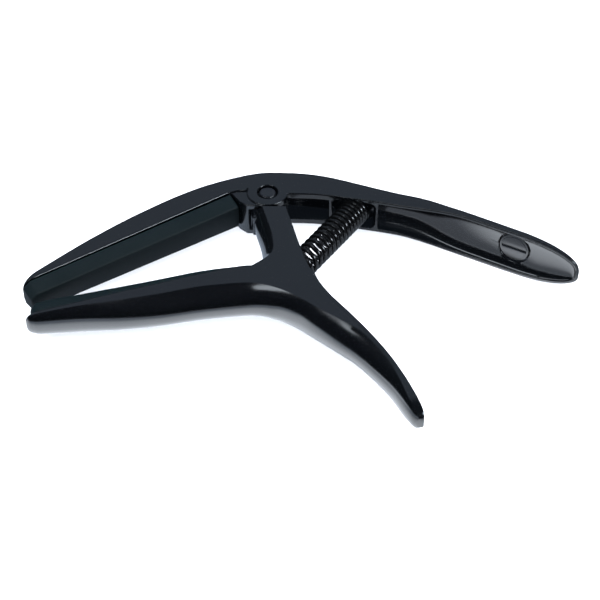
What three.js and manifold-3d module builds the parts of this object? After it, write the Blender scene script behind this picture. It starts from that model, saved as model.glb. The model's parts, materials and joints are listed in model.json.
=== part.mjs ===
// A spring-loaded trigger capo for a guitar, built at real size in millimetres.
// The profile lies in the XY plane with the pivot at its middle, the fret bar to -X and the handle to +X.
// Z runs across the width, and every casting is symmetric about the profile plane.

import * as THREE from 'three';
import { LoftGeometry } from 'three/addons/geometries/LoftGeometry.js';
import { mergeVertices } from 'three/addons/utils/BufferGeometryUtils.js';
import Module from 'manifold-3d';

// ---------- driving dimensions, in millimetres ----------

const bodyWidth = 9.4;            // across the cheeks and the post
const fitGap = 0.3;               // between pieces that touch

const barLength = 55.6;           // underside of the fret bar, heel to tip
const barAngle = 33.8 * Math.PI / 180;  // droop of the fret bar below the X axis
const barTipWidth = 7.2;
const barTipHeight = 0.6;         // side height of the bar at its very tip
const barCrown = 1.8;             // how far the spine bulges past its side faces
const barTipRound = 2.6;          // rounding of the bar's tip, seen from above
const heel = new THREE.Vector2(-8.5, 0.3);  // inner end of the bar's underside

const spineHeight = 6.9;          // spine side edge above the pivot
const cheekWall = 1.6;            // thickness of each cheek
const roofSkin = 2.4;             // metal above the pivot pocket

const handleLength = 71.4;        // pivot to the end of the handle, along X
const handleDrop = 24.2;          // pivot to the end of the handle, along Y
const handleWidth = 12.3;
const handleCrown = 3.3;
const handleEndRound = 13;        // length of the handle's round end
const endSliver = 0.86;           // share of the half width lost at the handle's very end
const flareStart = 0.42;          // share of the handle's length where it begins to widen
const flareEnd = 0.66;            // and where it is at its full width
const handleRim = 0.85;           // rim around the handle's dish
const handleSkin = 1.8;           // metal between the dish and the crown

const pinDiameter = 4.3;
const pinRecess = 0.2;            // pin ends below the cheek faces
const pinChamfer = 0.35;
const knuckleWall = 1.45;         // metal of the lever's knuckle around its bore
const cheekMargin = 1;            // the round cheeks reach past the knuckle
const heelLevel = 0.1;            // the heel stops this far above the bottom of the cheeks
const heelInset = 0.3;            // and this far inside the sides of the bar and the cheeks
const pocketExtra = 0.1;          // free space around the knuckle beyond the usual gap

const jawSetback = 1.9;           // the jaw stops short of the bar's tip
const jawTipDrop = 9.2;           // and its tip lies below the bar's tip
const postDrop = 26;              // pivot to the top of the jaw beside the post
const jawLean = 0.06;             // lean of the jaw's sides towards the post
const gripCorner = new THREE.Vector2(9.6, -postDrop - 0.2);  // where the grip leaves the post
const gripReach = 23.9;           // corner to the end of the grip, along X
const gripDrop = 43.3;            // the same, along Y
const creaseSpread = 1.15;        // how far the lever's crown is from running smoothly out of its sides

const ribThickness = 0.8;         // rib between the pivot pocket and the spring pocket
const springPocketStart = 15.4;
const springPocketLength = 10.2;
const springPocketCorner = 1.5;
const springPocketSkin = 1.6;     // metal above the spring pocket
const landLength = 0.6;           // metal between the spring pocket and the dish

const springDiameter = 6.8;       // outside of the coil
const wireDiameter = 1.0;
const springTurns = 16;
const openness = 0.33;            // how much wider the lower turns stand than the upper ones
const springBottom = new THREE.Vector2(6.45, -23.2);  // lower end of the coil's axis
const springTop = new THREE.Vector2(21.8, -0.25);     // upper end of the coil's axis

const padThickness = 3.9;         // fret pad
const padFaceWidth = 5.0;         // face that presses the strings, at the tip
const padFaceWidthInner = 6.0;    // the same face at the heel
const padHeelGap = 0.7;           // the pad starts short of the heel
const padSideInset = 0.4;         // the pad is narrower than the bar at the heel
const padTipBevel = 1.8;          // length of the pad's narrowed tip

const neckPadWidth = 6.2;
const neckPadTipWidth = 5.2;
const neckPadSide = 1.5;          // height of the neck pad's straight sides
const neckPadCrown = 1.5;
const neckPadTipCrown = 2.6;
const neckPadInset = 0.2;         // the pad stays inside the jaw's edges
const neckPadStart = 1.3;         // jaw station where the pad begins
const neckPadEnd = 8;             // and where it ends
const neckPadSections = 8;

const plugDiameter = 7.2;
const plugThickness = 1.1;
const plugSetback = 13.8;         // plug's middle to the end of the handle, along X
const plugRecess = 1.2;           // depth of the plug's seat under the dish
const plugSlotWidth = 0.9;
const plugSlotDepth = 0.45;

const crownSteps = 14;            // facets across a crowned face
const roundSteps = 48;            // facets around a pin or bore
const armSections = 76;
const dishSections = 36;
const leverSections = 90;
const postSections = 24;

// Sizes that follow from the ones above.
const boreRadius = pinDiameter / 2 + fitGap;
const knuckleRadius = boreRadius + knuckleWall;
const cheekRadius = knuckleRadius + cheekMargin;
const pocketRadius = knuckleRadius + fitGap + pocketExtra;
const pocketHalfWidth = bodyWidth / 2 - cheekWall;
const half = bodyWidth / 2;
const channelStart = springPocketStart + springPocketLength + landLength;  // where the dish begins
const plugPlace = handleLength - plugSetback;

// ---------- solids ----------

const wasm = await Module();
wasm.setup();

function solidOf(geometry) {
  const bare = geometry.index ? geometry.toNonIndexed() : geometry.clone();
  bare.deleteAttribute('normal');
  bare.deleteAttribute('uv');
  const merged = mergeVertices(bare, 1e-4);
  return new wasm.Manifold(new wasm.Mesh({
    numProp: 3,
    vertProperties: merged.attributes.position.array,
    triVerts: new Uint32Array(merged.index.array),
  }));
}

function geometryOf(solid) {
  const mesh = solid.getMesh();
  const geometry = new THREE.BufferGeometry();
  geometry.setAttribute('position', new THREE.BufferAttribute(mesh.vertProperties, 3));
  geometry.setIndex(new THREE.BufferAttribute(mesh.triVerts, 1));
  geometry.computeVertexNormals();
  return geometry;
}

function namedMesh(name, solid, material) {
  const mesh = new THREE.Mesh(geometryOf(solid), material);
  mesh.name = name;
  return mesh;
}

// A flat profile, given a thickness centred on the profile plane.
function slab(shape, thickness) {
  const geometry = new THREE.ExtrudeGeometry(shape, { depth: thickness, bevelEnabled: false, curveSegments: 24 });
  geometry.translate(0, 0, -thickness / 2);
  return solidOf(geometry);
}

// A round bar along Z, centred on the profile plane.
function roundBar(radius, length) {
  const geometry = new THREE.CylinderGeometry(radius, radius, length, roundSteps);
  geometry.rotateX(Math.PI / 2);
  return solidOf(geometry);
}

// A round bar in the profile plane, from one point to another.
function barBetween(from, to, radius) {
  const length = from.distanceTo(to);
  const geometry = new THREE.CylinderGeometry(radius, radius, length, roundSteps);
  geometry.rotateZ(Math.atan2(to.y - from.y, to.x - from.x) - Math.PI / 2);
  geometry.translate((from.x + to.x) / 2, (from.y + to.y) / 2, 0);
  return solidOf(geometry);
}

// ---------- crowned sections ----------

// One cross-section: flat across at root, straight sides up to crease, then an arc of an ellipse beyond it.
// With spread 1 the crown runs smoothly out of the sides; above 1 it starts at an angle, in a hard crease.
function crownedSection({ root, crease, halfWidth, crown, spread = 1 }) {
  const outward = crease.clone().sub(root).normalize();
  const start = Math.acos(1 / spread);
  const lift = Math.sin(start);
  const points = [new THREE.Vector3(root.x, root.y, halfWidth)];
  for (let step = 0; step <= crownSteps; step++) {
    const turn = THREE.MathUtils.lerp(start, Math.PI - start, step / crownSteps);
    const rise = crown * (Math.sin(turn) - lift) / (1 - lift);
    points.push(new THREE.Vector3(
      crease.x + outward.x * rise,
      crease.y + outward.y * rise,
      halfWidth * spread * Math.cos(turn),
    ));
  }
  points.push(new THREE.Vector3(root.x, root.y, -halfWidth));
  return points;
}

function loft(stations) {
  const [first, next] = stations;
  const outward = first.crease.clone().sub(first.root);
  const travel = next.crease.clone().sub(first.crease);
  const sections = stations.map(crownedSection);
  if (outward.cross(travel) < 0) sections.forEach((section) => section.reverse());
  return solidOf(new LoftGeometry(sections, { capStart: true, capEnd: true }));
}

// Half width near a rounded end: it loses `cut` at the end itself and nothing beyond `reach`.
function roundedHalfWidth(halfWidth, distance, reach, cut) {
  const inside = THREE.MathUtils.clamp(distance / reach, 0, 1);
  return halfWidth - cut + cut * Math.sqrt(1 - (1 - inside) ** 2);
}

// Height of a curve that only runs forward in X.
function heightAt(curve, x) {
  let low = 0;
  let high = 1;
  for (let step = 0; step < 40; step++) {
    const middle = (low + high) / 2;
    if (curve.getPoint(middle).x < x) low = middle;
    else high = middle;
  }
  return curve.getPoint(low).y;
}

// Places between two values, closer together towards both ends.
function placesBetween(first, last, count) {
  return Array.from({ length: count + 1 }, (_, i) => {
    const share = (1 - Math.cos(Math.PI * i / count)) / 2;
    return first + (last - first) * share;
  });
}

// ---------- the fret bar's own line ----------

const barDirection = new THREE.Vector2(-Math.cos(barAngle), -Math.sin(barAngle));
const padDirection = new THREE.Vector2(Math.sin(barAngle), -Math.cos(barAngle));

// A point a distance along the bar from its heel, and below its underside.
function barPoint(along, below) {
  return heel.clone().addScaledVector(barDirection, along).addScaledVector(padDirection, below);
}

const barTip = barPoint(barLength, 0);
const handleEnd = new THREE.Vector2(handleLength, -handleDrop);

// Side edge of the outer spine, from the bar's tip over the pivot to the end of the handle.
const spine = new THREE.SplineCurve([
  barTip.clone().add(new THREE.Vector2(0, barTipHeight)),
  barPoint(barLength * 0.87, -1.9),
  barPoint(barLength * 0.64, -4.1),
  barPoint(barLength * 0.38, -5.5),
  barPoint(barLength * 0.11, -5.4),
  new THREE.Vector2(-4.0, spineHeight - 0.6),
  new THREE.Vector2(3.6, spineHeight),
  new THREE.Vector2(13.0, spineHeight - 1.2),
  new THREE.Vector2(channelStart - 1.2, spineHeight - 5.6),
  new THREE.Vector2(handleLength * 0.5, -handleDrop * 0.125),
  new THREE.Vector2(handleLength * 0.61, -handleDrop * 0.335),
  new THREE.Vector2(handleLength * 0.72, -handleDrop * 0.52),
  new THREE.Vector2(handleLength * 0.86, -handleDrop * 0.75),
  handleEnd.clone().add(new THREE.Vector2(0, 0.9)),
]);

// Lower edge of the side walls, from the heel to the end of the handle.
const wallEdge = new THREE.SplineCurve([
  heel,
  new THREE.Vector2(heel.x / 2, heel.y + 0.2),
  new THREE.Vector2(5.0, -0.6),
  new THREE.Vector2(12.0, -1.0),
  new THREE.Vector2(springPocketStart + 4.6, -2.5),
  new THREE.Vector2(channelStart + 2.2, -4.4),
  new THREE.Vector2(handleLength * 0.5, -handleDrop * 0.272),
  new THREE.Vector2(handleLength * 0.62, -handleDrop * 0.415),
  new THREE.Vector2(handleLength * 0.78, -handleDrop * 0.665),
  handleEnd,
]);

function edgeHeight(x) {
  if (x < heel.x) return heel.y - (heel.x - x) * Math.tan(barAngle);
  return heightAt(wallEdge, x);
}

function armHalfWidth(x) {
  const bar = THREE.MathUtils.mapLinear(Math.min(x, -cheekRadius), barTip.x, -cheekRadius, barTipWidth, bodyWidth);
  const spread = THREE.MathUtils.smoothstep(x / handleLength, flareStart, flareEnd);
  const flare = spread * (handleWidth - bodyWidth);
  return (bar + flare) / 2;
}

function armCrown(x) {
  const share = THREE.MathUtils.smoothstep(x, channelStart, handleLength * flareEnd);
  return THREE.MathUtils.lerp(barCrown, handleCrown, share);
}

function armStation(x) {
  const full = armHalfWidth(x);
  const fromTip = roundedHalfWidth(full, x - barTip.x, barTipRound, barTipRound * 0.9);
  const fromEnd = roundedHalfWidth(full, handleLength - x, handleEndRound, full * endSliver);
  const halfWidth = Math.min(fromTip, fromEnd);
  return {
    root: new THREE.Vector2(x, edgeHeight(x)),
    crease: new THREE.Vector2(x, heightAt(spine, x)),
    halfWidth,
    crown: armCrown(x) * halfWidth / full,
  };
}

// ---------- upper arm ----------

// The slot between the cheeks: round about the knuckle, then open below up to the rib.
function pivotPocket() {
  const pocketEnd = springPocketStart - ribThickness;
  const shape = new THREE.Shape();
  shape.absarc(0, 0, pocketRadius, Math.PI, Math.PI / 2, true);
  shape.lineTo(pocketEnd * 0.35, heightAt(spine, pocketEnd * 0.35) - roofSkin);
  shape.lineTo(pocketEnd, heightAt(spine, pocketEnd) - roofSkin);
  shape.lineTo(pocketEnd, -cheekRadius * 2);
  shape.lineTo(-pocketRadius, -cheekRadius * 2);
  return slab(shape, pocketHalfWidth * 2);
}

// The cast pocket that takes the upper end of the spring.
function springPocket() {
  const halfLength = springPocketLength / 2;
  const halfDepth = springDiameter / 2 + fitGap;
  const corner = springPocketCorner;
  const shape = new THREE.Shape();
  shape.absarc(halfLength - corner, halfDepth - corner, corner, 0, Math.PI / 2, false);
  shape.absarc(corner - halfLength, halfDepth - corner, corner, Math.PI / 2, Math.PI, false);
  shape.absarc(corner - halfLength, corner - halfDepth, corner, Math.PI, Math.PI * 1.5, false);
  shape.absarc(halfLength - corner, corner - halfDepth, corner, Math.PI * 1.5, Math.PI * 2, false);
  const middle = springPocketStart + halfLength;
  const drop = 12;
  const geometry = new THREE.ExtrudeGeometry(shape, { depth: drop, bevelEnabled: false, curveSegments: 8 });
  geometry.rotateX(Math.PI / 2);
  const slope = heightAt(spine, middle + halfLength) - heightAt(spine, middle - halfLength);
  const position = geometry.attributes.position;
  for (let i = 0; i < position.count; i++) {
    const lift = position.getY(i) > -drop / 2 ? slope * position.getX(i) / springPocketLength : 0;
    position.setY(i, position.getY(i) + lift);
  }
  geometry.translate(middle, heightAt(spine, middle) - springPocketSkin, 0);
  return solidOf(geometry);
}

const dishEnd = handleLength - handleRim;

function dishTop(x) {
  return heightAt(spine, x) + armCrown(x) - handleSkin;
}

// The long dish under the handle, open below.
function dishStation(x) {
  const full = armHalfWidth(x) - handleRim;
  const halfWidth = roundedHalfWidth(full, dishEnd - x, handleEndRound, full * endSliver);
  const lip = edgeHeight(x) + 0.3;
  return {
    root: new THREE.Vector2(x, edgeHeight(x) - 3),
    crease: new THREE.Vector2(x, lip),
    halfWidth,
    crown: Math.max(0.3, (dishTop(x) - lip) * halfWidth / full),
  };
}

// The plug's seat: its axis is square to the dish's middle line.
const plugTurn = Math.atan2(dishTop(plugPlace + 3) - dishTop(plugPlace - 3), 6);
const plugNormal = new THREE.Vector2(Math.sin(plugTurn), -Math.cos(plugTurn));
const plugCentre = new THREE.Vector2(plugPlace, dishTop(plugPlace));

function plugSeat() {
  const floor = plugCentre.clone().addScaledVector(plugNormal, -plugRecess);
  return barBetween(floor, plugCentre.clone().addScaledVector(plugNormal, 8), plugDiameter / 2 + fitGap);
}

// The solid heel behind the end of the pad: as deep as the pad, then level into the round cheeks.
function heelBlock() {
  const level = heelLevel - cheekRadius;
  return loft([
    barPoint(padHeelGap - fitGap, 0),
    barPoint(padHeelGap - fitGap, padThickness),
    new THREE.Vector2(-cheekRadius, level + heelLevel),
    new THREE.Vector2(-cheekRadius * 0.55, level),
    new THREE.Vector2(-cheekRadius * 0.2, level),
  ].map((root) => ({
    root,
    crease: new THREE.Vector2(root.x, heel.y + 1),
    halfWidth: armHalfWidth(root.x) - heelInset,
    crown: 0.3,
  })));
}

function upperArm() {
  const casting = loft(placesBetween(barTip.x, handleLength, armSections).map(armStation));
  return casting
    .add(roundBar(cheekRadius, bodyWidth))
    .add(heelBlock())
    .subtract(pivotPocket())
    .subtract(springPocket())
    .subtract(loft(placesBetween(channelStart, dishEnd, dishSections).map(dishStation)))
    .subtract(plugSeat())
    .subtract(roundBar(boreRadius, bodyWidth * 2));
}

// ---------- pads ----------

// The silicone pad under the fret bar: a straight trapezoid, narrower where it presses the strings.
function fretPad() {
  const section = (along, topWidth, faceWidth) => [
    [fitGap, -topWidth / 2],
    [fitGap + padThickness, -faceWidth / 2],
    [fitGap + padThickness, faceWidth / 2],
    [fitGap, topWidth / 2],
  ].map(([below, z]) => {
    const point = barPoint(along, below);
    return new THREE.Vector3(point.x, point.y, z);
  });
  const sections = [
    section(padHeelGap, bodyWidth - padSideInset * 2, padFaceWidthInner),
    section(barLength - padTipBevel, barTipWidth, padFaceWidth),
    section(barLength, barTipWidth - barTipRound, padFaceWidth - padTipBevel),
  ];
  return solidOf(new LoftGeometry(sections, { capStart: true, capEnd: true }));
}

// ---------- lever ----------

// Jaw, from its tip to the post. Each row: share of the reach, share of the drop, height of the flat side,
// share of the half width, crown beyond the side's outer crease.
const jawTip = new THREE.Vector2(barTip.x + jawSetback, barTip.y - jawTipDrop);
const jawStations = [
  [1, 1, 0.4, 0.3, 0.4],
  [0.99, 0.993, 0.6, 0.48, 0.8],
  [0.97, 0.971, 0.8, 0.6, 1.2],
  [0.936, 0.942, 0.9, 0.69, 1.5],
  [0.775, 0.783, 1.5, 0.85, 2.3],
  [0.612, 0.594, 2.8, 0.94, 3.2],
  [0.445, 0.399, 3.6, 0.98, 4.0],
  [0.28, 0.188, 4.3, 1, 4.4],
  [0.11, 0, 5.7, 1, 4.3],
].map(([reach, drop, side, width, crown]) => {
  const root = new THREE.Vector2(jawTip.x * reach, THREE.MathUtils.lerp(-postDrop, jawTip.y, drop));
  const crease = root.clone().add(new THREE.Vector2(side * jawLean, -side));
  return { root, crease, halfWidth: half * width, crown };
});

// Corner below the post. Each row: root and crease from the top of the jaw beside the post, then the crown.
const cornerStations = [
  [-1.0, 0.2, -1.4, -6.0, 3.9],
  [4.5, 0.4, 2.1, -7.2, 3.4],
].map(([rootX, rootY, creaseX, creaseY, crown]) => ({
  root: new THREE.Vector2(rootX, rootY - postDrop),
  crease: new THREE.Vector2(creaseX, creaseY - postDrop),
  halfWidth: half,
  crown,
}));

// Grip, from the corner to its end. Each row: shares of the reach and drop, the crease from the root,
// share of the half width, crown.
const gripStations = [
  [0, 0, -4.8, -8.4, 1, 3.0],
  [0.109, 0.122, -3.9, -5.6, 1, 2.8],
  [0.209, 0.215, -3.0, -4.3, 1, 3.0],
  [0.377, 0.342, -2.0, -2.6, 1, 3.6],
  [0.552, 0.478, -1.0, -1.0, 0.96, 4.0],
  [0.724, 0.63, -0.9, -0.6, 0.88, 3.4],
  [0.854, 0.771, -1.4, -0.6, 0.78, 2.2],
  [0.95, 0.898, -1.9, -0.5, 0.68, 1.4],
  [0.996, 0.97, -1.7, -0.4, 0.52, 0.9],
  [1, 1, -1.1, -0.2, 0.28, 0.3],
].map(([reach, drop, creaseX, creaseY, width, crown]) => {
  const root = gripCorner.clone().add(new THREE.Vector2(gripReach * reach, -gripDrop * drop));
  const crease = root.clone().add(new THREE.Vector2(creaseX, creaseY));
  return { root, crease, halfWidth: half * width, crown };
});

const leverStations = [...jawStations, ...cornerStations, ...gripStations];

// The post that rises from the corner to the shoulder under the cheeks, crowned on its jaw side. Each row:
// the grip side's place, the depth of the flat side, the crown.
const shoulder = -(cheekRadius + fitGap);
const postStations = [
  [4.4, shoulder, 5.6, 2.4],
  [5.6, -10.2, 5.5, 2.6],
  [7.0, -16.0, 5.6, 2.6],
  [8.1, -20.6, 6.6, 2.4],
  [8.7, -22.9, 8.5, 1.5],
  [9.3, -24.6, 11.1, 0.7],
  [9.9, -26.6, 14.1, 0.3],
].map(([x, y, depth, crown]) => ({
  root: new THREE.Vector2(x, y),
  crease: new THREE.Vector2(x - depth, y),
  halfWidth: half,
  crown,
}));

// Smooth stations through the given ones.
function smoothStations(stations, count) {
  const roots = new THREE.SplineCurve(stations.map(({ root }) => root));
  const creases = new THREE.SplineCurve(stations.map(({ crease }) => crease));
  const forms = new THREE.SplineCurve(stations.map(({ halfWidth, crown }) => new THREE.Vector2(halfWidth, crown)));
  return Array.from({ length: count + 1 }, (_, i) => {
    const share = i / count;
    const form = forms.getPoint(share);
    return {
      root: roots.getPoint(share),
      crease: creases.getPoint(share),
      halfWidth: Math.min(form.x, half),
      crown: form.y,
      spread: creaseSpread,
    };
  });
}

// The narrow tongue that carries the knuckle up between the cheeks.
function tongue() {
  const shape = new THREE.Shape();
  shape.absarc(0, 0, knuckleRadius, 0, Math.PI, false);
  shape.lineTo(-knuckleRadius + 0.5, shoulder - 2);
  shape.lineTo(knuckleRadius, shoulder - 2);
  return slab(shape, (pocketHalfWidth - fitGap) * 2);
}

function springSeat() {
  const along = springTop.clone().sub(springBottom).normalize();
  const floor = springBottom.clone().addScaledVector(along, -fitGap);
  return barBetween(floor, floor.clone().addScaledVector(along, 16), springDiameter / 2 + fitGap);
}

function lowerLever() {
  return loft(smoothStations(leverStations, leverSections))
    .add(loft(smoothStations(postStations, postSections)))
    .add(tongue())
    .subtract(roundBar(boreRadius, bodyWidth))
    .subtract(springSeat());
}

// The silicone bead on top of the jaw, following its inner edge.
function neckPad() {
  const fine = 200;
  const jaw = smoothStations(leverStations, fine);
  return loft(Array.from({ length: neckPadSections }, (_, i) => {
    const share = i / (neckPadSections - 1);
    const place = THREE.MathUtils.lerp(neckPadStart, neckPadEnd, share) / (leverStations.length - 1);
    const station = jaw[Math.round(place * fine)];
    const inward = station.root.clone().sub(station.crease).normalize();
    const width = THREE.MathUtils.lerp(neckPadTipWidth, neckPadWidth, share);
    return {
      root: station.root.clone().addScaledVector(inward, fitGap),
      crease: station.root.clone().addScaledVector(inward, fitGap + neckPadSide),
      halfWidth: Math.min(width / 2, station.halfWidth - neckPadInset),
      crown: THREE.MathUtils.lerp(neckPadTipCrown, neckPadCrown, share),
    };
  }));
}

// ---------- pin, spring and plug ----------

function pivotPin() {
  const radius = pinDiameter / 2;
  const end = bodyWidth / 2 - pinRecess;
  const profile = [
    [0, -end], [radius - pinChamfer, -end], [radius, pinChamfer - end],
    [radius, end - pinChamfer], [radius - pinChamfer, end], [0, end],
  ].map(([x, y]) => new THREE.Vector2(x, y));
  const geometry = new THREE.LatheGeometry(profile, roundSteps);
  geometry.rotateX(Math.PI / 2);
  return solidOf(geometry);
}

// The coil's centre line, its turns open at the lever's end and nearly closed at the arm's.
class CoilCurve extends THREE.Curve {
  getPoint(share, target = new THREE.Vector3()) {
    const axis = springTop.clone().sub(springBottom);
    const length = axis.length();
    axis.normalize();
    const side = new THREE.Vector2(axis.y, -axis.x);
    const radius = (springDiameter - wireDiameter) / 2;
    const turn = share * springTurns * Math.PI * 2;
    const stretched = share * (1 + openness) - openness * share * share;
    const along = wireDiameter / 2 + (length - wireDiameter) * stretched;
    return target.set(
      springBottom.x + axis.x * along + side.x * radius * Math.cos(turn),
      springBottom.y + axis.y * along + side.y * radius * Math.cos(turn),
      radius * Math.sin(turn),
    );
  }
}

function returnSpring() {
  const section = new THREE.Shape();
  section.absarc(0, 0, wireDiameter / 2, 0, Math.PI * 2, false);
  const geometry = new THREE.ExtrudeGeometry(section, {
    steps: springTurns * 14,
    extrudePath: new CoilCurve(),
    curveSegments: 3,
  });
  return solidOf(geometry);
}

function handlePlug() {
  const back = plugCentre.clone().addScaledVector(plugNormal, fitGap - plugRecess);
  const face = back.clone().addScaledVector(plugNormal, plugThickness);
  const disc = barBetween(back, face, plugDiameter / 2);
  const slot = new THREE.BoxGeometry(plugDiameter * 2, plugSlotDepth * 2, plugSlotWidth);
  slot.rotateZ(plugTurn);
  slot.translate(face.x, face.y, 0);
  return disc.subtract(solidOf(slot));
}

// ---------- assembly ----------

const castMetal = new THREE.MeshStandardMaterial({ color: 0x1b2027, roughness: 0.35, metalness: 0.4 });
const silicone = new THREE.MeshStandardMaterial({ color: 0x2a3336, roughness: 0.7, metalness: 0 });
const blackSteel = new THREE.MeshStandardMaterial({ color: 0x17191c, roughness: 0.3, metalness: 0.8 });
const plugPlastic = new THREE.MeshStandardMaterial({ color: 0x20242a, roughness: 0.4, metalness: 0.1 });

const arm = new THREE.Group();
arm.add(namedMesh('upper_arm', upperArm(), castMetal));
arm.add(namedMesh('fret_pad', fretPad(), silicone));
arm.add(namedMesh('pivot_pin', pivotPin(), blackSteel));
arm.add(namedMesh('return_spring', returnSpring(), blackSteel));
arm.add(namedMesh('handle_plug', handlePlug(), plugPlastic));

const lever = new THREE.Group();
lever.add(namedMesh('lower_lever', lowerLever(), castMetal));
lever.add(namedMesh('neck_pad', neckPad(), silicone));

// The capo lies on its side, so its origin is the middle of its footprint on the surface below it.
const capo = new THREE.Group();
capo.add(arm, lever);
const bounds = new THREE.Box3().setFromObject(capo);
const middle = bounds.getCenter(new THREE.Vector3());
capo.position.set(-middle.x, -middle.y, -bounds.min.z);

const group = new THREE.Group();
group.add(capo);

export default group;
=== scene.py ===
import json
import math

import bmesh
import bpy
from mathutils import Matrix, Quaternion, Vector


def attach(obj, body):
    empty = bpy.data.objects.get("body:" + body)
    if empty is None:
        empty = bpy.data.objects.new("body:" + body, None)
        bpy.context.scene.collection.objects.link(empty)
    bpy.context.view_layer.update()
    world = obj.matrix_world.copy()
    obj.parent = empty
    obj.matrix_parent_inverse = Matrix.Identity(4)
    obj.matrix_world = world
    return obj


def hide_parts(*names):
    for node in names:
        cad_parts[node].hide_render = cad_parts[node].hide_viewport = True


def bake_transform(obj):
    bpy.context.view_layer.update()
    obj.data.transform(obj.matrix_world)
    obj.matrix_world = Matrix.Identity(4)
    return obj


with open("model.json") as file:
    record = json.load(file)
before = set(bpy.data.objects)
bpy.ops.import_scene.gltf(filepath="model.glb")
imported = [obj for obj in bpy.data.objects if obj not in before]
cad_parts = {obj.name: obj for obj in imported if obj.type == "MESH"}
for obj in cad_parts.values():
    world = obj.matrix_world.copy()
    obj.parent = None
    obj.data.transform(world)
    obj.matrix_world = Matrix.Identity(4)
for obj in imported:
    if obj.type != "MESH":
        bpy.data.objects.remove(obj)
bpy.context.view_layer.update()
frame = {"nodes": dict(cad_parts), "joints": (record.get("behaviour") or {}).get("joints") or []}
nodes = frame["nodes"]
hinge = [joint for joint in frame["joints"] if joint["name"] == "lever_hinge"][0]
pivot = Vector(hinge["pos_m"])  # every place below is counted from the hinge
mm = 0.001
near = 0.1     # millimetres within which two places count as one
facing = 0.9   # a face counts as facing an axis when its normal reaches this far along it


def place(x, y, z=0.0):
    # a point in millimetres from the hinge, as a place in the frame
    return pivot + Vector((x, y, z)) * mm


def startClean():
    if bpy.context.object and bpy.context.object.mode != "OBJECT":
        bpy.ops.object.mode_set(mode="OBJECT")
    bpy.ops.object.select_all(action="DESELECT")


def pick(piece):
    startClean()
    piece.select_set(True)
    bpy.context.view_layer.objects.active = piece


def settle(piece, name, body, slot, material, *replaced):
    # a finished piece: its place in its mesh, one material, riding on its body
    pick(piece)
    bpy.ops.object.transform_apply(location=True, rotation=True, scale=True)
    piece.name = name
    piece.data.name = name
    piece.data.materials.clear()
    piece.data.materials.append(material)
    if body:
        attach(piece, body)
    if replaced:
        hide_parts(*replaced)


def applyAll(piece):
    pick(piece)
    for modifier in list(piece.modifiers):
        bpy.ops.object.modifier_apply(modifier=modifier.name)


def choose(piece, kind, test):
    # in edit mode: selects the piece's vertices or faces that pass the test, and nothing else
    bpy.ops.mesh.select_mode(type="VERT" if kind == "verts" else "FACE")
    bpy.ops.mesh.select_all(action="DESELECT")
    mesh = bmesh.from_edit_mesh(piece.data)
    for part in getattr(mesh, kind):
        part.select_set(test(part))
    mesh.select_flush_mode()
    bmesh.update_edit_mesh(piece.data)


def roundEdges(piece, width, segments, angle, clamp=True):
    bevel = piece.modifiers.new("edges", "BEVEL")
    bevel.width = width * mm
    bevel.segments = segments
    bevel.limit_method = "ANGLE"
    bevel.angle_limit = math.radians(angle)
    bevel.use_clamp_overlap = clamp
    applyAll(piece)


# ---- materials ----

def newMaterial(name):
    material = bpy.data.materials.new(name)
    material.use_nodes = True
    tree = material.node_tree
    return material, tree, tree.nodes["Principled BSDF"]


skinDetail = {"peelDetail": 3.0, "toneDetail": 5.0, "toneRange": (0.3, 0.7), "bump": 0.25}


def makeSkinGroup():
    # fine orange peel, faint dust and slow tone changes of a sprayed or moulded skin
    group = bpy.data.node_groups.new("skinDetail", "ShaderNodeTree")
    face = group.interface
    for name, kind, value in (
        ("Peel Scale", "NodeSocketFloat", 900.0),
        ("Tone Scale", "NodeSocketFloat", 60.0),
        ("Dark", "NodeSocketColor", (0.01, 0.01, 0.012, 1)),
        ("Light", "NodeSocketColor", (0.02, 0.02, 0.024, 1)),
        ("Rough Low", "NodeSocketFloat", 0.2),
        ("Rough High", "NodeSocketFloat", 0.3),
    ):
        socket = face.new_socket(name, in_out="INPUT", socket_type=kind)
        socket.default_value = value
    for name, kind in (
        ("Color", "NodeSocketColor"),
        ("Roughness", "NodeSocketFloat"),
        ("Height", "NodeSocketFloat"),
    ):
        face.new_socket(name, in_out="OUTPUT", socket_type=kind)
    add, link = group.nodes.new, group.links.new
    source = add("NodeGroupInput")
    result = add("NodeGroupOutput")
    coords = add("ShaderNodeTexCoord")
    peel = add("ShaderNodeTexNoise")
    peel.inputs["Detail"].default_value = skinDetail["peelDetail"]
    link(coords.outputs["Object"], peel.inputs["Vector"])
    link(source.outputs["Peel Scale"], peel.inputs["Scale"])
    tone = add("ShaderNodeTexNoise")
    tone.inputs["Detail"].default_value = skinDetail["toneDetail"]
    link(coords.outputs["Object"], tone.inputs["Vector"])
    link(source.outputs["Tone Scale"], tone.inputs["Scale"])
    mix = add("ShaderNodeMix")
    mix.data_type = "RGBA"
    link(tone.outputs["Fac"], mix.inputs["Factor"])
    link(source.outputs["Dark"], mix.inputs["A"])
    link(source.outputs["Light"], mix.inputs["B"])
    link(mix.outputs["Result"], result.inputs["Color"])
    spread = add("ShaderNodeMapRange")
    link(tone.outputs["Fac"], spread.inputs["Value"])
    spread.inputs["From Min"].default_value = skinDetail["toneRange"][0]
    spread.inputs["From Max"].default_value = skinDetail["toneRange"][1]
    link(source.outputs["Rough Low"], spread.inputs["To Min"])
    link(source.outputs["Rough High"], spread.inputs["To Max"])
    link(spread.outputs["Result"], result.inputs["Roughness"])
    link(peel.outputs["Fac"], result.inputs["Height"])
    return group


skinGroup = makeSkinGroup()


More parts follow.
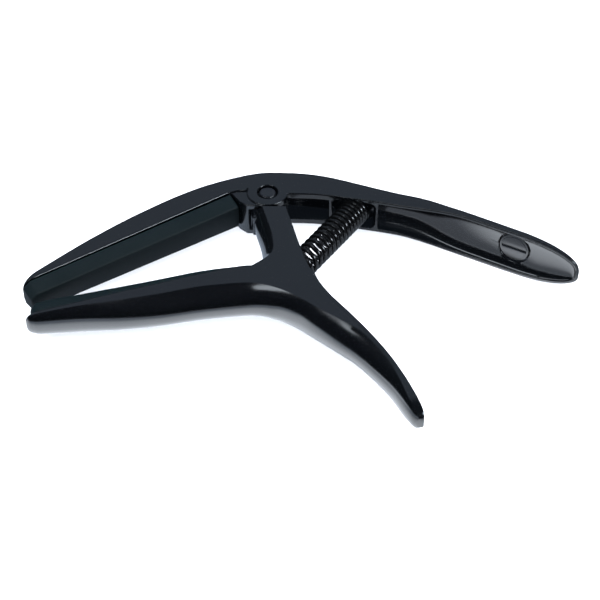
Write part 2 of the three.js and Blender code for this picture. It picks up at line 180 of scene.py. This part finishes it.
skinValues = {
    "blackLacquer": {
        "dark": (0.0010, 0.0014, 0.0020), "light": (0.0018, 0.0024, 0.0034), "rough": (0.13, 0.18),
        "ior": 2.0, "peelScale": 1400.0, "peelHeight": 0.00002, "toneScale": 60.0, "specular": 0.5,
    },
    "tealSilicone": {
        "dark": (0.0012, 0.0036, 0.0048), "light": (0.0024, 0.0056, 0.0074), "rough": (0.5, 0.62),
        "ior": 1.42, "peelScale": 5000.0, "peelHeight": 0.00003, "toneScale": 90.0, "specular": 0.3,
    },
    "blackWire": {
        "dark": (0.001, 0.0012, 0.0014), "light": (0.002, 0.0022, 0.0026), "rough": (0.14, 0.22),
        "ior": 1.75, "peelScale": 2500.0, "peelHeight": 0.00001, "toneScale": 60.0, "specular": 0.5,
    },
    "pinSteel": {
        "dark": (0.0015, 0.002, 0.003), "light": (0.003, 0.004, 0.006), "rough": (0.2, 0.3),
        "ior": 2.0, "peelScale": 2500.0, "peelHeight": 0.00001, "toneScale": 60.0, "specular": 0.5,
    },
    "plugPlastic": {
        "dark": (0.003, 0.004, 0.005), "light": (0.005, 0.006, 0.008), "rough": (0.24, 0.32),
        "ior": 1.9, "peelScale": 2000.0, "peelHeight": 0.00001, "toneScale": 60.0, "specular": 0.5,
    },
}


def skinMaterial(name):
    values = skinValues[name]
    material, tree, shader = newMaterial(name)
    skin = tree.nodes.new("ShaderNodeGroup")
    skin.node_tree = skinGroup
    skin.inputs["Peel Scale"].default_value = values["peelScale"]
    skin.inputs["Tone Scale"].default_value = values["toneScale"]
    skin.inputs["Dark"].default_value = (*values["dark"], 1)
    skin.inputs["Light"].default_value = (*values["light"], 1)
    skin.inputs["Rough Low"].default_value = values["rough"][0]
    skin.inputs["Rough High"].default_value = values["rough"][1]
    bump = tree.nodes.new("ShaderNodeBump")
    bump.inputs["Strength"].default_value = skinDetail["bump"]
    bump.inputs["Distance"].default_value = values["peelHeight"]
    tree.links.new(skin.outputs["Height"], bump.inputs["Height"])
    tree.links.new(skin.outputs["Color"], shader.inputs["Base Color"])
    tree.links.new(skin.outputs["Roughness"], shader.inputs["Roughness"])
    tree.links.new(bump.outputs["Normal"], shader.inputs["Normal"])
    shader.inputs["IOR"].default_value = values["ior"]
    shader.inputs["Specular IOR Level"].default_value = values["specular"]
    return material


lacquer = skinMaterial("blackLacquer")
silicone = skinMaterial("tealSilicone")
blackWire = skinMaterial("blackWire")
pinSteel = skinMaterial("pinSteel")
plugPlastic = skinMaterial("plugPlastic")
print("materials ready")


# ---- castings ----

castValues = {
    "mergeGap": 0.002,
    "flatShare": 0.9995, "flatAngle": 2.0,
    "edge": 0.28, "edgeSegments": 3, "edgeAngle": 60.0,
    "armSmoothAngle": 35.0, "leverSmoothAngle": 13.0,
}


def castFromNode(node, name, body, smoothAngle, evenFlats):
    # the casting's own form, with its facets merged, its flats joined up and every square edge rounded
    copy = nodes[node].copy()
    copy.data = nodes[node].data.copy()
    copy.parent = None
    for key in list(copy.keys()):
        del copy[key]
    bpy.context.scene.collection.objects.link(copy)
    copy.hide_render = False
    copy.hide_viewport = False
    pick(copy)
    bpy.ops.object.mode_set(mode="EDIT")
    bpy.ops.mesh.select_all(action="SELECT")
    bpy.ops.mesh.remove_doubles(threshold=castValues["mergeGap"] * mm)
    choose(copy, "faces", lambda face: abs(face.normal.z) > castValues["flatShare"])
    bpy.ops.mesh.dissolve_limited(angle_limit=math.radians(castValues["flatAngle"]))
    bpy.ops.object.mode_set(mode="OBJECT")
    roundEdges(copy, castValues["edge"], castValues["edgeSegments"], castValues["edgeAngle"], clamp=False)
    bpy.ops.object.shade_smooth_by_angle(angle=math.radians(smoothAngle))
    if evenFlats:
        weighted = copy.modifiers.new("evenFlats", "WEIGHTED_NORMAL")
        weighted.keep_sharp = True
        applyAll(copy)
    settle(copy, name, body, "cast_body", lacquer, node)
    print(name, len(copy.data.polygons), "faces")


# the arm's spine is rounded over, while the lever keeps the hard crease along its crown
castFromNode("upper_arm", "castArm", "arm", castValues["armSmoothAngle"], evenFlats=True)
castFromNode("lower_lever", "castLever", "lever", castValues["leverSmoothAngle"], evenFlats=False)


# ---- fret pad ----

fretPadValues = {
    "heel": (-8.5, 0.3),            # inner end of the bar's underside, from the hinge
    "droop": 33.8,                  # of the bar, degrees
    "start": 0.7, "bevelAt": 53.8, "end": 55.6,  # along the bar
    "gap": 0.3, "thickness": 3.9,
    "widths": (8.6, 7.2, 4.6),      # against the bar: at the start, where the tip narrows, at the end
    "faceWidths": (6.0, 5.0, 3.2),  # the same for the face that presses the strings
    "faceBulge": 0.15,
    "edge": 0.4, "edgeSegments": 4, "edgeAngle": 18.0, "smoothAngle": 40.0,
    "fill": 0.95,
}


def makeFretPad():
    # built level with its heel at the middle of the frame, then turned to the bar's droop
    values = fretPadValues
    startClean()
    length = values["end"] - values["start"]
    depth = values["gap"] + values["thickness"] / 2
    middle = Vector((-(values["start"] + values["end"]) / 2, -depth, 0)) * mm
    bpy.ops.mesh.primitive_cube_add(size=1, location=middle)
    pad = bpy.context.object
    pad.scale = (length * mm, values["thickness"] * mm, values["widths"][0] * mm)
    bpy.ops.object.transform_apply(location=True, rotation=True, scale=True)
    bpy.ops.object.mode_set(mode="EDIT")
    bpy.ops.mesh.select_all(action="SELECT")
    bpy.ops.mesh.bisect(plane_co=(-values["bevelAt"] * mm, 0, 0), plane_no=(1, 0, 0))
    faceHeight = -depth * mm
    for index, along in enumerate((values["start"], values["bevelAt"], values["end"])):
        for isFace, widths in ((False, values["widths"]), (True, values["faceWidths"])):
            choose(pad, "verts", lambda vert: abs(vert.co.x + along * mm) < near * mm
                   and (vert.co.y < faceHeight) == isFace)
            share = widths[index] / values["widths"][0]
            bpy.ops.transform.resize(value=(1, 1, share), center_override=(0, 0, 0))
    bpy.ops.mesh.select_all(action="SELECT")
    bpy.ops.mesh.bisect(plane_co=(0, 0, 0), plane_no=(0, 0, 1))
    choose(pad, "verts", lambda vert: abs(vert.co.z) < near * mm and vert.co.y < faceHeight)
    bpy.ops.transform.translate(value=(0, -values["faceBulge"] * mm, 0))
    bpy.ops.object.mode_set(mode="OBJECT")
    roundEdges(pad, values["edge"], values["edgeSegments"], values["edgeAngle"])
    bpy.ops.object.shade_smooth_by_angle(angle=math.radians(values["smoothAngle"]))
    pad.location = place(*values["heel"])
    pad.rotation_euler = (0, 0, math.radians(values["droop"]))
    settle(pad, "fretPad", "arm", "silicone", silicone, "fret_pad")


makeFretPad()
print("fret pad ready")


# ---- neck pad ----

neckPadValues = {
    "line": (                       # top of the jaw from the post to its tip, from the hinge
        (-5.8, -26.0), (-10.3, -27.2), (-14.8, -28.6), (-19.1, -30.1), (-23.5, -31.5),
        (-32.3, -34.2), (-40.9, -36.83), (-47.0, -38.45), (-50.2, -39.2), (-51.7, -39.55),
    ),
    "gap": 0.3,
    "heights": (2.4, 2.7, 3.0, 3.2, 3.3, 3.5, 3.8, 4.0, 3.8, 3.2),
    "widths": (5.4, 5.7, 5.9, 5.9, 5.8, 5.7, 5.5, 5.3, 4.8, 3.6),
    "edge": 1.6, "edgeSegments": 8, "edgeAngle": 50.0, "smoothAngle": 45.0,
    "fill": 0.95,
}


def makeNeckPad():
    # a strip grown out of its first end face along the jaw, its long edges then well rounded
    values = neckPadValues
    line = [Vector(point) for point in values["line"]]
    stations = []
    for index, point in enumerate(line):
        run = line[min(index + 1, len(line) - 1)] - line[max(index - 1, 0)]
        angle = math.atan2(run.y, run.x)
        lift = values["gap"] + values["heights"][index] / 2
        stations.append((place(point.x + math.sin(angle) * lift, point.y - math.cos(angle) * lift), angle))
    startClean()
    start, angle = stations[0]
    bpy.ops.mesh.primitive_plane_add(size=1, location=start, rotation=(0, math.radians(90), 0))
    pad = bpy.context.object
    pad.scale = (values["widths"][0] * mm, values["heights"][0] * mm, 1)
    bpy.ops.object.transform_apply(location=True, rotation=True, scale=True)
    bpy.ops.object.mode_set(mode="EDIT")
    bpy.ops.mesh.select_all(action="SELECT")
    bpy.ops.transform.rotate(value=-(angle + math.pi), orient_axis="Z", center_override=start)
    for index in range(1, len(stations)):
        here, turn = stations[index]
        before, turnBefore = stations[index - 1]
        bpy.ops.mesh.extrude_region_move(TRANSFORM_OT_translate={"value": here - before})
        bpy.ops.transform.rotate(value=turnBefore - turn, orient_axis="Z", center_override=here)
        high = values["heights"][index] / values["heights"][index - 1]
        wide = values["widths"][index] / values["widths"][index - 1]
        bpy.ops.transform.resize(value=(high, high, wide), center_override=here)
    bpy.ops.mesh.select_all(action="SELECT")
    bpy.ops.mesh.normals_make_consistent(inside=False)
    bpy.ops.object.mode_set(mode="OBJECT")
    roundEdges(pad, values["edge"], values["edgeSegments"], values["edgeAngle"])
    bpy.ops.object.shade_smooth_by_angle(angle=math.radians(values["smoothAngle"]))
    settle(pad, "neckPad", "lever", "silicone", silicone, "neck_pad")


makeNeckPad()
print("neck pad ready")


# ---- pivot pin ----

pinValues = {
    "radius": 1.98, "halfLength": 4.45, "sides": 72, "inset": 0.55, "dome": 0.12,
    "edge": 0.32, "edgeSegments": 5, "edgeAngle": 30.0, "smoothAngle": 50.0,
}


def makePin():
    values = pinValues
    startClean()
    bpy.ops.mesh.primitive_cylinder_add(vertices=values["sides"], radius=values["radius"] * mm,
                                        depth=values["halfLength"] * 2 * mm, location=pivot)
    pin = bpy.context.object
    bpy.ops.object.transform_apply(location=True, rotation=True, scale=True)
    bpy.ops.object.mode_set(mode="EDIT")
    choose(pin, "faces", lambda face: abs(face.normal.z) > facing)
    bpy.ops.mesh.inset(thickness=values["inset"] * mm)
    grow = 1 + values["dome"] / values["halfLength"]
    bpy.ops.transform.resize(value=(1, 1, grow), center_override=pivot)
    bpy.ops.object.mode_set(mode="OBJECT")
    roundEdges(pin, values["edge"], values["edgeSegments"], values["edgeAngle"])
    bpy.ops.object.shade_smooth_by_angle(angle=math.radians(values["smoothAngle"]))
    settle(pin, "pivotPin", "arm", "black_steel", pinSteel, "pivot_pin")


makePin()
print("pin ready")


# ---- return spring ----

springValues = {
    "bottom": (6.45, -23.2), "top": (21.8, -0.25),  # ends of the coil's axis, from the hinge
    "outside": 6.9, "wire": 1.1, "turns": 17, "openness": 0.33,
    "stepsPerTurn": 40, "wireSmoothness": 4,
}


def makeSpring():
    # its pitch changes along it, which no screw gives, so the wire follows a line of worked-out points
    values = springValues
    bottom, top = place(*values["bottom"]), place(*values["top"])
    axis = (top - bottom).normalized()
    side = Vector((axis.y, -axis.x, 0))
    up = Vector((0, 0, 1))
    wire = values["wire"] * mm
    radius = (values["outside"] * mm - wire) / 2
    length = (top - bottom).length - wire
    count = values["turns"] * values["stepsPerTurn"]
    curve = bpy.data.curves.new("coil", "CURVE")
    curve.dimensions = "3D"
    curve.bevel_depth = wire / 2
    curve.bevel_resolution = values["wireSmoothness"]
    curve.use_fill_caps = True
    line = curve.splines.new("POLY")
    line.points.add(count)
    for index, point in enumerate(line.points):
        share = index / count
        turn = share * values["turns"] * math.tau
        along = wire / 2 + length * (share * (1 + values["openness"]) - values["openness"] * share * share)
        spot = bottom + axis * along + (side * math.cos(turn) + up * math.sin(turn)) * radius
        point.co = (*spot, 1)
    spring = bpy.data.objects.new("coil", curve)
    bpy.context.scene.collection.objects.link(spring)
    pick(spring)
    bpy.ops.object.convert(target="MESH")
    spring = bpy.context.object
    bpy.ops.object.shade_smooth()
    settle(spring, "returnSpring", None, "black_steel", blackWire, "return_spring")
    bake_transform(spring)


makeSpring()
print("spring ready")


# ---- handle plug ----

plugValues = {
    "middle": (58.04, -13.78), "turn": -29.4,  # middle of its back, and its slope, from the hinge
    "radius": 3.6, "thickness": 1.1, "sides": 64, "rim": 0.5, "step": 0.12,
    "slotWidth": 0.9, "slotDepth": 0.4,
    "edge": 0.09, "edgeSegments": 3, "edgeAngle": 40.0, "smoothAngle": 35.0,
}


def makePlug():
    # built flat at the middle of the frame with its face to -Y, then turned to the handle's slope
    values = plugValues
    startClean()
    bpy.ops.mesh.primitive_cylinder_add(vertices=values["sides"], radius=values["radius"] * mm,
                                        depth=values["thickness"] * mm, rotation=(math.radians(90), 0, 0),
                                        location=(0, -values["thickness"] / 2 * mm, 0))
    plug = bpy.context.object
    bpy.ops.object.transform_apply(location=True, rotation=True, scale=True)
    bpy.ops.object.mode_set(mode="EDIT")
    choose(plug, "faces", lambda face: face.normal.y < -facing)
    bpy.ops.mesh.inset(thickness=values["rim"] * mm)
    bpy.ops.mesh.extrude_region_move(TRANSFORM_OT_translate={"value": (0, -values["step"] * mm, 0)})
    for side in (-1, 1):
        choose(plug, "faces", lambda face: face.normal.y < -facing
               and face.calc_center_median().y < -(values["thickness"] + values["step"] / 2) * mm)
        bpy.ops.mesh.bisect(plane_co=(0, 0, side * values["slotWidth"] / 2 * mm), plane_no=(0, 0, 1))
    choose(plug, "faces", lambda face: face.normal.y < -facing
           and abs(face.calc_center_median().z) < near * mm
           and face.calc_center_median().y < -(values["thickness"] + values["step"] / 2) * mm)
    bpy.ops.mesh.extrude_region_move(TRANSFORM_OT_translate={"value": (0, values["slotDepth"] * mm, 0)})
    bpy.ops.object.mode_set(mode="OBJECT")
    roundEdges(plug, values["edge"], values["edgeSegments"], values["edgeAngle"])
    bpy.ops.object.shade_smooth_by_angle(angle=math.radians(values["smoothAngle"]))
    plug.location = place(*values["middle"])
    plug.rotation_euler = (0, 0, math.radians(values["turn"]))
    settle(plug, "handlePlug", "arm", "plug", plugPlastic, "handle_plug")


makePlug()
print("plug ready")


# ---- studio ----

studio = {
    "aim": (7.7, -32.4, 0.0),       # from the hinge, mm
    "elevation": 43.5,
    "distance": 359.55,
    "lens": 96.0,
    "sensor": 36.0,
    "floorDrop": 0.05,              # below the capo, mm
    "floorSize": 8.0,               # m
    "floorColor": (0.84, 0.88, 0.95, 1), "floorRoughness": 0.9,
    "airColor": (0.8, 0.88, 1.0, 1), "airStrength": 0.012,
}

glossFloor = {
    # painted reflection: for glossy rays the floor glows with these colours instead of its own,
    # bright before and under the lever, and in one spot before the handle
    "dark": (0.38, 0.43, 0.50, 1), "gap": (0.50, 0.60, 0.74, 1), "bright": (2.1, 2.25, 2.45, 1),
    "gapLimits": (8.0, 0.0),        # from right of the post to left of it
    "farLimits": (-4.0, -42.0), "farShare": 0.06,  # the bright part fades towards the front
    # height at the hinge and slope of the bright part's two limits
    "jawLine": (-31.0, 0.11), "gripLine": (-31.0, -1.02),
    "softness": 5.0,
    # painted highlight: this glowing spot on the floor is what the handle's dish reflects
    "spot": (58.0, -20.0), "spotSlope": -29.0, "spotSize": (17.0, 4.5), "spotFade": 1.6,
    "spotStrength": 0.8,
}


def makeFloorMaterial():
    material, tree, shader = newMaterial("paleFloor")
    shader.inputs["Base Color"].default_value = studio["floorColor"]
    shader.inputs["Roughness"].default_value = studio["floorRoughness"]
    shader.inputs["Specular IOR Level"].default_value = 0.0

    def sum3(xFactor, yFactor, constant):
        # xFactor * x + yFactor * y + constant, of a place on the floor in millimetres from the hinge
        first = tree.nodes.new("ShaderNodeMath")
        first.operation = "MULTIPLY_ADD"
        tree.links.new(spot.outputs["X"], first.inputs[0])
        first.inputs[1].default_value = xFactor
        first.inputs[2].default_value = constant
        second = tree.nodes.new("ShaderNodeMath")
        second.operation = "MULTIPLY_ADD"
        tree.links.new(spot.outputs["Y"], second.inputs[0])
        second.inputs[1].default_value = yFactor
        tree.links.new(first.outputs[0], second.inputs[2])
        return second.outputs[0]

    def maths(operation, a, b):
        node = tree.nodes.new("ShaderNodeMath")
        node.operation = operation
        for socket, value in zip(node.inputs, (a, b)):
            if isinstance(value, float):
                socket.default_value = value
            else:
                tree.links.new(value, socket)
        return node.outputs[0]

    def fade(value, low, high):
        node = tree.nodes.new("ShaderNodeMapRange")
        node.interpolation_type = "SMOOTHSTEP"
        tree.links.new(value, node.inputs["Value"])
        node.inputs["From Min"].default_value = low
        node.inputs["From Max"].default_value = high
        return node.outputs["Result"]

    coords = tree.nodes.new("ShaderNodeTexCoord")
    moved = tree.nodes.new("ShaderNodeVectorMath")
    moved.operation = "SUBTRACT"
    tree.links.new(coords.outputs["Object"], moved.inputs[0])
    moved.inputs[1].default_value = pivot
    scaled = tree.nodes.new("ShaderNodeVectorMath")
    scaled.operation = "SCALE"
    tree.links.new(moved.outputs[0], scaled.inputs[0])
    scaled.inputs["Scale"].default_value = 1 / mm
    spot = tree.nodes.new("ShaderNodeSeparateXYZ")
    tree.links.new(scaled.outputs[0], spot.inputs[0])
    (jawHeight, jawSlope), (gripHeight, gripSlope) = glossFloor["jawLine"], glossFloor["gripLine"]
    beyond = maths("MAXIMUM", sum3(-jawSlope, 1.0, -jawHeight), sum3(-gripSlope, 1.0, -gripHeight))
    before = fade(beyond, glossFloor["softness"], -glossFloor["softness"])
    turn = math.radians(glossFloor["spotSlope"])
    alongX, alongY = math.cos(turn) / glossFloor["spotSize"][0], math.sin(turn) / glossFloor["spotSize"][0]
    acrossX, acrossY = -math.sin(turn) / glossFloor["spotSize"][1], math.cos(turn) / glossFloor["spotSize"][1]
    middleX, middleY = glossFloor["spot"]
    along = sum3(alongX, alongY, -alongX * middleX - alongY * middleY)
    across = sum3(acrossX, acrossY, -acrossX * middleX - acrossY * middleY)
    away = maths("ADD", maths("MULTIPLY", along, along), maths("MULTIPLY", across, across))
    blob = maths("MULTIPLY", fade(away, glossFloor["spotFade"], 0.0), glossFloor["spotStrength"])
    nearness = fade(beyond, glossFloor["farLimits"][1], glossFloor["farLimits"][0])
    strength = maths("ADD", maths("MULTIPLY", nearness, 1.0 - glossFloor["farShare"]), glossFloor["farShare"])
    base = tree.nodes.new("ShaderNodeMix")
    base.data_type = "RGBA"
    tree.links.new(fade(spot.outputs["X"], *glossFloor["gapLimits"]), base.inputs["Factor"])
    base.inputs["A"].default_value = glossFloor["dark"]
    base.inputs["B"].default_value = glossFloor["gap"]
    shade = tree.nodes.new("ShaderNodeMix")
    shade.data_type = "RGBA"
    tree.links.new(maths("MAXIMUM", maths("MULTIPLY", before, strength), blob), shade.inputs["Factor"])
    tree.links.new(base.outputs["Result"], shade.inputs["A"])
    shade.inputs["B"].default_value = glossFloor["bright"]
    # the painted reflection: an emission that only glossy rays see in place of the floor
    seen = tree.nodes.new("ShaderNodeEmission")
    tree.links.new(shade.outputs["Result"], seen.inputs["Color"])
    path = tree.nodes.new("ShaderNodeLightPath")
    choice = tree.nodes.new("ShaderNodeMixShader")
    tree.links.new(path.outputs["Is Glossy Ray"], choice.inputs["Fac"])
    tree.links.new(shader.outputs["BSDF"], choice.inputs[1])
    tree.links.new(seen.outputs["Emission"], choice.inputs[2])
    tree.links.new(choice.outputs["Shader"], tree.nodes["Material Output"].inputs["Surface"])
    return material


def makeFloor():
    startClean()
    bpy.ops.mesh.primitive_plane_add(size=studio["floorSize"], location=(0, 0, -studio["floorDrop"] * mm))
    floor = bpy.context.object
    floor.name = "floor"
    floor.data.materials.append(makeFloorMaterial())


lights = (
    # azimuth counts from +Y (behind the capo) towards +X; metres, watts and degrees
    {"name": "fillAbove", "azimuth": 0, "elevation": 90, "distance": 1.5, "size": (2.5, 2.5),
     "power": 120, "color": (1, 1, 1), "glossy": False, "diffuse": True, "shadow": False, "roll": 0},
    {"name": "backPanel", "azimuth": 0, "elevation": 42, "distance": 1.6, "size": (3.2, 1.3),
     "power": 3.1, "color": (0.66, 0.80, 1.0), "glossy": True, "diffuse": False, "shadow": True, "roll": 0},
    {"name": "softBox", "azimuth": 251, "elevation": 69, "distance": 1.2, "size": (0.22, 0.5),
     "power": 1.0, "color": (0.84, 0.92, 1.0), "glossy": True, "diffuse": False, "shadow": True, "roll": -45},
    # this one draws a thin bright line along the rounded edge of the bar
    {"name": "edgeRight", "azimuth": 116, "elevation": 37, "distance": 1.5, "size": (0.75, 0.3),
     "power": 11.0, "color": (0.80, 0.90, 1.0), "glossy": True, "diffuse": False, "shadow": True, "roll": 0},
)


def areaLight(name, azimuth, elevation, distance, size, power, color, glossy, diffuse, shadow, roll):
    data = bpy.data.lights.new(name, "AREA")
    data.shape = "RECTANGLE"
    data.size, data.size_y = size
    data.energy = power
    data.color = color
    lamp = bpy.data.objects.new(name, data)
    bpy.context.scene.collection.objects.link(lamp)
    turn, rise = math.radians(azimuth), math.radians(elevation)
    outward = Vector((math.sin(turn) * math.cos(rise), math.cos(turn) * math.cos(rise), math.sin(rise)))
    lamp.location = outward * distance
    spin = Quaternion((0, 0, 1), math.radians(roll))
    lamp.rotation_euler = (outward.to_track_quat("Z", "Y") @ spin).to_euler()
    lamp.visible_glossy = glossy
    lamp.visible_diffuse = diffuse
    lamp.visible_camera = False
    data.use_shadow = shadow
    data.cycles.cast_shadow = shadow


makeFloor()
scene = bpy.context.scene
scene.view_settings.view_transform = "Standard"
world = bpy.data.worlds.new("studioAir")
scene.world = world
world.use_nodes = True
world.node_tree.nodes["Background"].inputs["Color"].default_value = studio["airColor"]
world.node_tree.nodes["Background"].inputs["Strength"].default_value = studio["airStrength"]
for light in lights:
    areaLight(**light)

aim = place(*studio["aim"])
rise = math.radians(studio["elevation"])
cameraData = bpy.data.cameras.new("camera")
cameraData.lens = studio["lens"]
cameraData.sensor_width = studio["sensor"]
camera = bpy.data.objects.new("camera", cameraData)
scene.collection.objects.link(camera)
camera.location = aim + Vector((0, -math.cos(rise), math.sin(rise))) * studio["distance"] * mm
camera.rotation_euler = (math.radians(90) - rise, 0, 0)
scene.camera = camera
print("studio ready")
